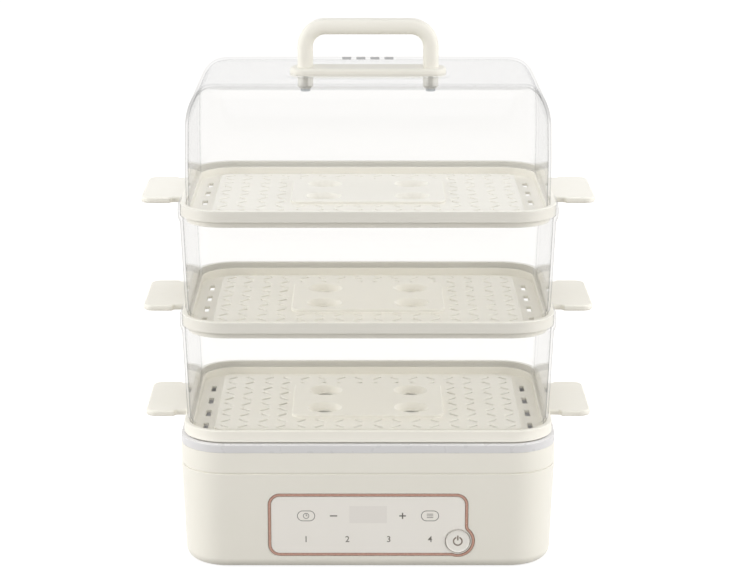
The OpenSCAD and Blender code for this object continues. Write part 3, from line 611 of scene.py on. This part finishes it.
def panel_plan(inset):
    """The panel's outline, offset inwards: a rounded rectangle that swells round the button.
    Each end of the swelling runs into its side by an arc that touches both."""
    right, top, corner = PANEL[0] / 2, PANEL[1] / 2, PANEL[2]
    points = []
    for sx, sy, start in ((1, 1, 0), (-1, 1, 90), (-1, -1, 180)):
        points += arc((sx * (right - corner), sy * (top - corner)), corner - inset, start,
                      start + 90)
    reach = SWELLING_R + JOINT
    below = top + JOINT + BUTTON[1]
    aside = math.sqrt(reach ** 2 - below ** 2)
    turn = math.degrees(math.atan2(-below, -aside))
    points += arc((BUTTON[0] - aside, -top - JOINT), JOINT + inset, 90, turn + 180)
    beside = right + JOINT - BUTTON[0]
    above = math.sqrt(reach ** 2 - beside ** 2)
    last = math.degrees(math.atan2(above, beside))
    points += arc(BUTTON, SWELLING_R - inset, turn, last)
    points += arc((right + JOINT, BUTTON[1] + above), JOINT + inset, last + 180, 180)
    return points


def back_disc(name, radius, near, far):
    """A disc on the back of the base, where the mains lead goes in."""
    disc = turned(name, [(0, 0), (radius, 0, 0.3), (radius, far - near, 0.3), (0, far - near)],
                  steps=48)
    disc.data.transform(shift(GLAND[0], near, GLAND[1])
                        @ Matrix.Rotation(-math.pi / 2, 4, "X"))
    return disc


housing = swept("housing", [
    (38.8, SEAM_Z), (38.8, SEAM_Z - SEAM_GROOVE, 0.2), (40, SEAM_Z - SEAM_GROOVE, 0.5),
    (36.68, SKIRT_Z, 9), (24, SKIRT_Z, 0.4), (24, 3), (8, 3, 0.4), (8, 5.5), (1, 5.5), (1, 8.3),
    (10.8, 8.3), (10.8, 5.8), (33.97, 5.8, 6.2), (37.2, SEAM_Z)], core_y=BASE_CORE_Y, segments=8)
combine(housing, on_panel(prism("recess", panel_plan(-0.15), -2.6, 6)))
combine(housing, on_panel(peg("button_hole", BUTTON_HOLE_R, -9, 3, BUTTON)))
combine(housing, back_disc("boss", 13, 112, 116.2), "UNION")
combine(housing, back_disc("boss_hole", 7.1, 105, 120))
dress(housing, ivory, "base", "ivory_plastic", "lower_housing")

# %% [markdown]
# ## Tank moulding
# The tank is a second ivory moulding on top of the housing. Outside it shows only as a plain
# band; inside it carries a shelf and the basin that holds the water, with the hole for the
# heater. The band and the shelf are one section carried round. The basin stands a little
# further back, so it is a box of its own, joined and then hollowed.

# %% Tank moulding
BAND_TOP = 104.7
BASIN = {"across": 280, "deep": 178, "back": 7, "floor": 42}


def basin(name, grow, low, high):
    """The water basin as a block, grown by the thickness of its wall or not."""
    return prism(name, rectangle(BASIN["across"] + 2 * grow, BASIN["deep"] + 2 * grow,
                                 30 + grow, (0, BASIN["back"])), low, high, segments=10)


tank = swept("tank", [
    (0, 89.5), (33, 89.5, 1), (33, BAND_TOP, 0.4), (40, BAND_TOP, 0.4), (40, SEAM_Z, 0.5),
    (37.2, SEAM_Z), (37.2, 101.7), (35.5, 101.7), (35.5, SEAM_Z), (0, SEAM_Z)],
    core_y=BASE_CORE_Y, closed=False)
combine(tank, basin("basin_outside", 2.5, 39.5, 88), "UNION")
combine(tank, basin("basin_inside", 0, BASIN["floor"], 100))
combine(tank, peg("heater_hole", 52, 30, 60, (0, BASIN["back"]), 64))
dress(tank, ivory, "base", "ivory_plastic", "water_tank")

# %% [markdown]
# ## Juice tray
# The milky grey band above the tank is the rim of the juice tray, which catches what drips from
# the food and lets the steam up through an opening in its middle. Rim, seat for the first tray,
# pan wall and pan floor are one section carried round, which keeps the rim's top edge even. The
# chimney round the steam opening is joined on and then cut through.

# %% Juice tray
RIM_Z = [122.1, 216.9, 311.7]
juice_tray = swept("juice_tray", [
    (0, 90), (29.8, 90, 1.6), (29.8, BAND_TOP), (40, BAND_TOP, 0.6), (40, 111.7, 0.6),
    (34.4, 111.7, 0.4), (34.4, 106.9, 0.5), (27.8, 106.9, 0.6), (27.8, 92, 1.2), (0, 92)],
    closed=False, core_y=BASE_CORE_Y)
combine(juice_tray, prism("chimney", rectangle(154, 88, 22), 91, 102), "UNION")
combine(juice_tray, prism("steam_opening", rectangle(150, 84, 20), 80, 120))
dress(juice_tray, milky, "drip_tray", "grey_plastic", "drip_tray")

# %% [markdown]
# ## Steam trays
# A steam tray is a channel turned upside down round a slotted floor: its outer skirt stands in
# the ring below, and the groove inside its rim takes the clear wall above. The three trays are
# one moulding, so it is modelled once and copied. Two flat handles grow out of its sides. The
# floor rises in two steps, as a pressed sheet does: a gutter round the edge, a deck with the
# slots, and in its middle a platform with four egg cups. Each step is a plate joined on top and
# a smaller one taken away below. A slot in a mould has a small flare at its mouth, so the cutter
# has one too: that rim of light is what makes the pattern read.

# %% Steam tray wall, floor and handles
GUTTER_Z, DECK_Z, PLATFORM_Z = -12, -7, -4.5
FLOOR = 2.5
PITCH = 33
DECK, PLATFORM = (8 * PITCH, 5 * PITCH), (4 * PITCH, 3 * PITCH)
STEPS = ((DECK, GUTTER_Z, DECK_Z), (PLATFORM, DECK_Z, PLATFORM_Z))
tray = swept("steam_tray", [
    (0, GUTTER_Z), (30.4, GUTTER_Z, 1.2), (30.4, -5, 0.4), (33.35, -5, 0.3), (33.35, 0, 0.5),
    (37.65, 0, 0.9), (37.65, -9.7, 0.4), (35.65, -9.7, 0.3), (35.65, -7.2, 0.3),
    (32.6, -7.2, 0.3), (32.6, -15, 0.3), (30.6, -15), (30.6, GUTTER_Z - FLOOR),
    (0, GUTTER_Z - FLOOR)], closed=False)


def handle_tab(side):
    """The flat handle at one side, with its edges rounded all round."""
    corners = [(155.5, -42), (167, -42, 1.5), (168.5, -46, 1.5), (194, -46, 9),
               (194, 46, 9), (168.5, 46, 1.5), (167, 42, 1.5), (155.5, 42)]
    tab = prism("tab", corners, -7, -2, segments=8)
    soften(tab, 1.6, 4)
    if side < 0:
        tab.data.transform(Matrix.Rotation(math.pi, 4, "Z"))
    return tab


for side in (1, -1):
    combine(tray, handle_tab(side), "UNION")
for (width, depth), below, top in STEPS:
    step = prism("step", rectangle(width, depth, 8), below - 1, top, segments=8)
    soften(step, 0.8, 3)
    combine(tray, step, "UNION")
for (width, depth), below, top in STEPS:
    combine(tray, prism("under", rectangle(width - 5, depth - 5, 5.5), below - 4, top - FLOOR,
                        segments=8))
print("tray walls:", len(tray.data.polygons), "faces")

# %% Egg cups
CUPS = [(sx * 38, sy * 26.5) for sx in (1, -1) for sy in (1, -1)]
cup_outside = together("cups", [turned("cup", [(0, -11), (13.25, -11, 0.6), (17.25, -5.2),
                                               (0, -5.2)], at, 48) for at in CUPS])
combine(tray, cup_outside, "UNION")
cup_inside = together("hollows", [turned("hollow", [
    (0, -3), (16.6, -3), (15.4, -4.5), (14.9, -5, 0.3), (10.7, -9.5, 0.6), (7.9, -9.5, 0.5),
    (7.5, -12.5), (0, -12.5)], at, 48) for at in CUPS])
combine(tray, cup_inside)
print("egg cups:", len(CUPS))

# %% [markdown]
# The slots repeat over a hundred times, so one cutter is drawn and copied to every place in the
# pattern, and all the copies cut the floor in one go. One by one, they would take minutes and
# leave the same floor.

# %% Steam slots
def slot_cutter(name, length, width, floor_z):
    """A cutter with rounded ends, flared where it leaves the floor."""
    cutter = prism(name, rectangle(length, width, 0.8), floor_z - 4, floor_z - 0.6, segments=3)
    bpy.ops.object.mode_set(mode="EDIT")
    pick(cutter, "faces", lambda f: f.normal.z > 0.9)
    for rise, flare in ((0.7, 1.1), (0.6, 0)):
        extrude(0, 0, rise)
        bpy.ops.transform.resize(value=(1 + flare / length, 1 + flare / width, 1))
    return tidy(cutter)


ASIDE = 0.24 * PITCH
SIDE_SLOT_X, SIDE_PITCH = 140.6, 38
slot = slot_cutter("slot", 10.5, 2.4, DECK_Z)
cell = [shift(sx * ASIDE, sy * ASIDE, 0)
        @ Matrix.Rotation(math.radians(-45 * sx * sy), 4, "Z")
        for sx in (1, -1) for sy in (1, -1)]
cutters = []
for column in (-3.5, -2.5, -1.5, -0.5, 0.5, 1.5, 2.5, 3.5):
    for row in (-2, -1, 0, 1, 2):
        if abs(column) > 2 or abs(row) == 2:
            spot = shift(column * PITCH, row * PITCH, 0)
            cutters += [copy_of(slot, "slot_copy", spot @ turn) for turn in cell]
side_slot = slot_cutter("side_slot", 4, 18, GUTTER_Z)
for side in (-1, 1):
    for row in (-1.5, -0.5, 0.5, 1.5):
        cutters.append(copy_of(side_slot, "side_slot_copy",
                               shift(side * SIDE_SLOT_X, row * SIDE_PITCH, 0)))
for used in (slot, side_slot):
    bpy.data.objects.remove(used)
print("slots:", len(cutters))
combine(tray, together("slots", cutters))

# %% Three copies of the tray
def stack(moulding, heights, name, material, slot, node):
    """Dresses a copy of the moulding at each height, for the body of the same name."""
    for number, height in enumerate(heights, 1):
        tier = f"{name}_{number}"
        dress(copy_of(moulding, tier, shift(0, 0, height)), material, tier, slot,
              f"{node}_{number}")
    bpy.data.objects.remove(moulding)


stack(tray, RIM_Z, "tray", ivory, "ivory_plastic", "steam_tray")

# %% [markdown]
# ## Clear rings
# Each ring stands in the groove of one tray, steps out over its rim, widens and flares into a lip
# that carries the next tray. The lip shows most, because light runs along it. The two rings are
# one moulding, with a notch at each side for the tray's handles.

# %% Clear rings
TIER_PITCH = 94.8
ring = swept("ring", [
    (33, -5, 0.5), (33, 0.4, 0.5), (34.9, 3, 2), (38.2, TIER_PITCH - 15.4, 2),
    (40, TIER_PITCH - 12.4, 1.8), (40, TIER_PITCH - 5, 1), (39.4, TIER_PITCH, 0.7),
    (38, TIER_PITCH, 0.5), (38, TIER_PITCH - 10.4, 0.4), (36, TIER_PITCH - 10.4, 1.4),
    (32.7, 3, 2), (30.8, 0.4, 0.5), (30.8, -5, 0.5)])
for side in (1, -1):
    combine(ring, prism("notch", rectangle(20, 85.2, 1, (side * 160, 0)),
                        TIER_PITCH - 7.6, TIER_PITCH + 9))
stack(ring, RIM_Z[:2], "ring", clear, "clear_plastic", "window_ring")

# %% [markdown]
# ## Lid
# The lid is one clear shell. Its walls are almost upright and its top edge is a wide rounding,
# higher than it is broad, so a circular fillet would look too tight: the rounding is drawn as a
# quarter of an ellipse. Only the outer skin is drawn, and Solidify gives it the even wall of a
# moulding. A seat for the handle plate, two screw posts and four vents are then worked in.

# %% Lid
LID_TOP = 411
ROUND = (22, 36)
POST_R = 6.5
VENT_Y, VENT_PITCH = 87, 12.6
lid_skin = [(33, 306.7), (33.2, 344.7)] + [
    (32.5 - ROUND[0] * (1 - math.cos(math.radians(a))),
     LID_TOP - ROUND[1] * (1 - math.sin(math.radians(a)))) for a in range(0, 91, 6)]
lid = swept("lid_shell", lid_skin + [(0, LID_TOP)], closed=False)
bpy.ops.object.mode_set(mode="EDIT")
pick(lid, "faces", lambda f: f.normal.z < -0.9)
bpy.ops.mesh.delete(type="FACE")
tidy(lid)
use(lid, "SOLIDIFY", thickness=2.4 * MM, offset=-1, use_even_offset=True)
soften(lid, 0.5, 3)
PLATE_CORE = (53, 2.5)
LEG_X = 53.85
combine(lid, swept("seat_floor", [(0, 406.6), (17, 406.6, 1), (17, 410.8), (0, 410.8)],
                   *PLATE_CORE, closed=False), "UNION")
for side in (1, -1):
    combine(lid, turned("post", [(0, 397.6), (POST_R, 397.6, 1.2), (POST_R, 408.5),
                                 (0, 408.5)], (side * LEG_X, 0), 32), "UNION")
combine(lid, swept("plate_seat", [(0, 409), (14.4, 409, 0.4), (14.4, 415), (0, 415)],
                   *PLATE_CORE, closed=False))
drills = [peg("drill", 2.1, 390, 415, (side * LEG_X, 0), 20) for side in (1, -1)]
vents = [prism("vent", rectangle(8, 3, 1.2, (i * VENT_PITCH, VENT_Y)), 398, 415)
         for i in (-1.5, -0.5, 0.5, 1.5)]
combine(lid, together("openings", drills + vents))
lid.name = lid.data.name = "clear_lid"
dress(lid, clear, "lid", "clear_plastic", "lid")
lid.data.materials.append(frosted)
lid.data.materials.append(vent_painted_shade)


def finish_of(face):
    """2 for the walls of the vents, 1 for the outside of the screw posts, 0 for the rest."""
    x, y, z = face.center / MM
    if abs(y - VENT_Y) < 1.7 and abs(x) < 23.5 and abs(face.normal.z) < 0.5:
        return 2
    return int(math.hypot(abs(x) - LEG_X, y) < POST_R + 0.3 and z < 406.5)


for face in lid.data.polygons:
    face.material_index = finish_of(face)
print("matt faces of the lid:", sum(face.material_index > 0 for face in lid.data.polygons))

# %% [markdown]
# ## Handle
# The handle is a bar of rounded section bent into a U, and it stands on a flat plate with
# rounded ends. The section is drawn once and led along its path: up, round a quarter turn,
# across, round another and down.

# %% Handle
PLATE_TOP = 415
BAR = (13.3, 18, 6.2)
BEND = 24 - BAR[0] / 2
LEG = 17.5

grip = draw("grip", rectangle(BAR[0], BAR[1], BAR[2], (LEG_X, 0)),
            lambda x, y: (x, y, PLATE_TOP), segments=8)
bpy.ops.mesh.select_all(action="SELECT")
extrude(0, 0, LEG)
for centre, across in ((LEG_X - BEND, -2 * (LEG_X - BEND)), (BEND - LEG_X, None)):
    bpy.ops.mesh.spin(steps=16, angle=math.pi / 2, axis=(0, 1, 0),
                      center=(centre * MM, 0, (PLATE_TOP + LEG) * MM))
    if across:
        extrude(across, 0, 0)
extrude(0, 0, -LEG)
dress(tidy(grip, sides=0), ivory, "lid", "ivory_plastic", "lid_handle")

plate = swept("handle_foot", [(0, 409), (14, 409, 0.8), (14, PLATE_TOP, 2.4), (0, PLATE_TOP)],
              *PLATE_CORE, closed=False, segments=6)
dress(plate, ivory, "lid", "ivory_plastic", "handle_plate")

# %% [markdown]
# ## Control panel
# The touch panel lies flush in the front. A plated trim runs round it and swells round the power
# button, as one line. Trim and lens share one plan, drawn at different insets, so the gap
# between them stays even. The trim is a bead: its centre line is drawn, turned into a curve and
# given thickness, because flat sides wouldn't gather the light into one pink line. The printed
# marks are separate flat shapes a twentieth of a millimetre proud, as screen print is: they stay
# sharp at any distance.

# %% Trim and lens
TRIM_WIDTH = 2.6
bead_r = TRIM_WIDTH / 2 + 0.05
trim = draw("trim", panel_plan(TRIM_WIDTH / 2), lambda x, y: (x, y, 0.7 - bead_r))
work_on(trim)
bpy.ops.object.convert(target="CURVE")
trim = bpy.context.object
trim.data.bevel_depth = bead_r * MM
trim.data.bevel_resolution = 4
bpy.ops.object.convert(target="MESH")
trim = bpy.context.object
bpy.ops.object.mode_set(mode="EDIT")
tidy(trim)
trim.data.name = trim.name
dress(on_panel(trim), rose_gold, "base", "rose_gold_plating", "panel_trim", smooth=60)

glass = prism("lens", panel_plan(TRIM_WIDTH + 0.1), -2.6, 0.1)
combine(glass, peg("lens_hole", BUTTON_HOLE_R, -9, 9, BUTTON, 64))
dress(on_panel(glass), lens, "base", "panel_lens", "control_panel")

# %% [markdown]
# The marks are a plus, a minus, a clock, a list and the numbers of four programmes. A ring is a
# flat disc with a smaller one cut from it, and a bar is a thin plate. The numbers are Blender's
# own letters made a mesh.

# %% Printed marks
INK = (0.08, 0.15)


def bar_mark(width, height, at):
    """A short bar."""
    return prism("bar", rectangle(width, height, 0.12, at), *INK)


def ring_mark(width, height, line, at):
    """An outline: a pill, or a ring where both sizes are the same."""
    radius = min(width, height) / 2 - 0.01
    mark = prism("ring_mark", rectangle(width, height, radius, at), *INK, segments=16)
    inside = prism("hole", rectangle(width - 2 * line, height - 2 * line, radius - line, at),
                   -1, 1, segments=16)
    return combine(mark, inside)


def number_mark(text, height, at):
    """A number in Blender's own letters, centred on its place."""
    deselect()
    bpy.ops.object.text_add()
    letters = bpy.context.object
    letters.data.body = text
    letters.data.size = height * MM / 0.7
    letters.data.align_x = "CENTER"
    letters.data.align_y = "CENTER"
    letters.data.extrude = (INK[1] - INK[0]) / 2 * MM
    letters.data.offset = 0.05 * MM
    bpy.ops.object.convert(target="MESH")
    bpy.ops.object.mode_set(mode="EDIT")
    tidy(letters)
    letters.data.transform(shift(*at, sum(INK) / 2))
    return letters


UPPER, LOWER = 8.2, -13.3
marks = [bar_mark(6.2, 1.1, (-29.3, UPPER)), bar_mark(5.6, 1.1, (29.3, UPPER)),
         bar_mark(1.1, 5.6, (29.3, UPPER))]
for x in (-52.6, 52.6):
    marks.append(ring_mark(15.2, 9.6, 0.55, (x, UPPER)))
marks += [ring_mark(5.2, 5.2, 0.5, (-52.6, UPPER)),
          bar_mark(0.5, 1.9, (-52.6, UPPER + 0.8)), bar_mark(1.5, 0.5, (-52.0, UPPER))]
marks += [bar_mark(5.4, 0.55, (52.6, UPPER + row)) for row in (-1.6, 0, 1.6)]
marks += [number_mark(str(i + 1), 5.4, (x, LOWER))
          for i, x in enumerate((-52.8, -17.6, 17.6, 52.8))]
dress(on_panel(together("panel_marks", marks)), ink, "base", "panel_lens")

# %% [markdown]
# ## Power button
# The button is a round cap a millimetre proud, with a thin plated ring let into its edge and a
# shallow dish for the fingertip. Its section is spun once. The power sign is raised, so it is a
# piece of its own in the plated finish: a ring with a gap at its top and a short bar.

# %% Power button
cap = turned("button_cap", [
    (0, -9.7), (2.2, -9.7), (2.2, -7.4), (12.4, -7.4), (12.4, -5.9), (10.6, -5.9),
    (10.6, 1.0, 0.5), (9.4, 1.0, 0.3), (9.1, 0.65, 0.2), (0, 0.55)], BUTTON, 64)
dress(on_panel(cap), button_abs, "power_button", "button_plastic", "power_button")

bead = peg("bead", 10.5, 0.6, 0.99, BUTTON, 64)
combine(bead, peg("bead_hole", 9.6, 0, 2, BUTTON, 64))
sign = prism("sign", rectangle(8.4, 8.4, 4.19, BUTTON), 0.5, 0.75, segments=16)
combine(sign, prism("sign_hole", rectangle(6.0, 6.0, 2.99, BUTTON), 0, 2, segments=16))
combine(sign, prism("sign_gap", rectangle(2.6, 5, 0.1, (BUTTON[0], BUTTON[1] + 4)), 0, 2))
stroke = prism("stroke", rectangle(1.2, 4.4, 0.3, (BUTTON[0], BUTTON[1] + 3)), 0.5, 0.75)
dress(on_panel(together("button_ring_and_sign", [bead, sign, stroke])), smoked,
      "power_button", "rose_gold_plating")

# %% [markdown]
# ## What stays as CAD
# Inside and under the base sit the boards, the heater, the feet and their fixings. Their solids
# are already the right shape, and next to nothing of them is seen, so they keep their meshes and
# get the finish of what they are.

# %% Finishes of the CAD nodes
carried = {
    ivory: ["bottom_plate", "steam_ring"],
    silicone: ["rubber_feet", "cord_gland", "heater_seal", "handle_washers"],
    zinc: ["bottom_screws", "housing_screws", "board_screws", "clamp_screws", "handle_screws",
           "heater_clamp", "heating_element", "thermostat", "button_spring", "capacitor"],
    aluminium: ["heater_plate"],
    board_green: ["power_board", "control_board"],
    dark_nylon: ["relay", "display_module", "power_switch", "buzzer", "panel_ribbon"],
    pale_nylon: ["terminal_block", "thermal_fuse"],
    winding: ["transformer"],
    spring_wire: ["touch_springs"],
    pvc: ["heater_leads"],
}
for material, names in carried.items():
    for name in names:
        nodes[name].data.materials.clear()
        nodes[name].data.materials.append(material)
finished = sum(carried.values(), [])
print("carried:", len(finished), "without a finish:",
      [name for name in nodes if name not in finished and not nodes[name].hide_render])

# %% [markdown]
# ## Light and floor
# The photograph has a pure white ground and light from all round: a little stronger from above
# and from both sides, which brightens the corners of the base. The world lights the object at a
# plain level. Camera, mirror and glass rays see it as white. The floor is a warm grey, so that
# little light comes up from below, and what those rays see of it is lifted to white. Only the
# top lamp shows its mirror image: the others would leave hard white patches on the lips. The
# lower trays stand in the shade of those above, yet in the photograph they are as bright as the
# top one. A lamp of their own does that: light linking lets it pass the pieces above and light
# the trays only.

# %% World
AMBIENT = 0.58
FLOOR_LIFT = 0.86
world = bpy.data.worlds.new("studio")
bpy.context.scene.world = world
world.use_nodes = True
sky = world.node_tree
sky.nodes.clear()
level = add(sky, "ShaderNodeMapRange", {"Value": seen_directly(sky), "To Min": AMBIENT,
                                        "To Max": 1.0})
backdrop = add(sky, "ShaderNodeBackground",
               {"Color": srgb("#FFFFFF"), "Strength": level.outputs["Result"]})
add(sky, "ShaderNodeOutputWorld", {"Surface": backdrop.outputs["Background"]})
print("world:", world.name)

# %% Lamps
def softbox(name, place, target, size, power, mirrored=False):
    """A large soft lamp aimed at a point. Its image shows in gloss only when mirrored."""
    deselect()
    bpy.ops.object.light_add(type="AREA", location=place)
    lamp = bpy.context.object
    lamp.name = name
    lamp.data.energy = power
    lamp.data.size = size
    lamp.visible_glossy = mirrored
    lamp.rotation_euler = (Vector(target) - Vector(place)).to_track_quat("-Z", "Y").to_euler()
    return lamp


softbox("top_softbox", (0, 0, 3.2), (0, 0, 0.2), 2.6, 12.0, True)
softbox("left_softbox", (-1.8, -0.4, 0.45), (0, 0, 0.12), 1.5, 29.0)
softbox("right_softbox", (1.8, -0.4, 0.45), (0, 0, 0.12), 1.5, 27.0)
softbox("front_softbox", (0.3, -2.6, 0.8), (0, 0, 0.12), 1.8, 11.5)
chamber = softbox("chamber_softbox", (0, 1, 3.6), (0, 0, 0.2), 2.6, 29.0)
lit = bpy.data.collections.new("lit_inside")
chamber.light_linking.receiver_collection = lit
for name in ("tray_1", "tray_2", "tray_3", "juice_tray"):
    lit.objects.link(bpy.data.objects[name])
passed = bpy.data.collections.new("light_passes")
chamber.light_linking.blocker_collection = passed
for name in ("tray_1", "tray_2", "tray_3", "ring_1", "ring_2", "clear_lid", "grip",
             "handle_foot"):
    passed.objects.link(bpy.data.objects[name])
for member in passed.collection_objects:
    member.light_linking.link_state = "EXCLUDE"
print("lamps:", len(bpy.data.lights))

# %% Floor
deselect()
bpy.ops.mesh.primitive_plane_add(size=16, location=(0, 0, 0))
floor = bpy.context.object
floor.name = "studio_floor"
paper, tree, surface, places = new_material("white_studio_paper")
fibres = add(tree, "ShaderNodeTexNoise", {"Vector": places, "Scale": per_mm(30)})
paper_tone = add(tree, "ShaderNodeMix", {"Factor": fibres.outputs["Fac"],
                                         "A": srgb("#97948E"), "B": srgb("#9C9993")},
                 data_type="RGBA")
matt = add(tree, "ShaderNodeBsdfDiffuse", {"Color": paper_tone.outputs["Result"]})
lift = add(tree, "ShaderNodeMath", {0: seen_directly(tree), 1: FLOOR_LIFT},
           operation="MULTIPLY")
glow = add(tree, "ShaderNodeEmission", {"Strength": lift.outputs["Value"]})
both = add(tree, "ShaderNodeAddShader", {0: matt.outputs["BSDF"], 1: glow.outputs["Emission"]})
tree.links.new(both.outputs["Shader"], surface)
floor.data.materials.append(paper)
print("floor:", floor.name)

# %% [markdown]
# ## Finish
# The view transform is Standard, so a colour renders as it is written.

# %% Finish
bpy.context.scene.view_settings.view_transform = "Standard"
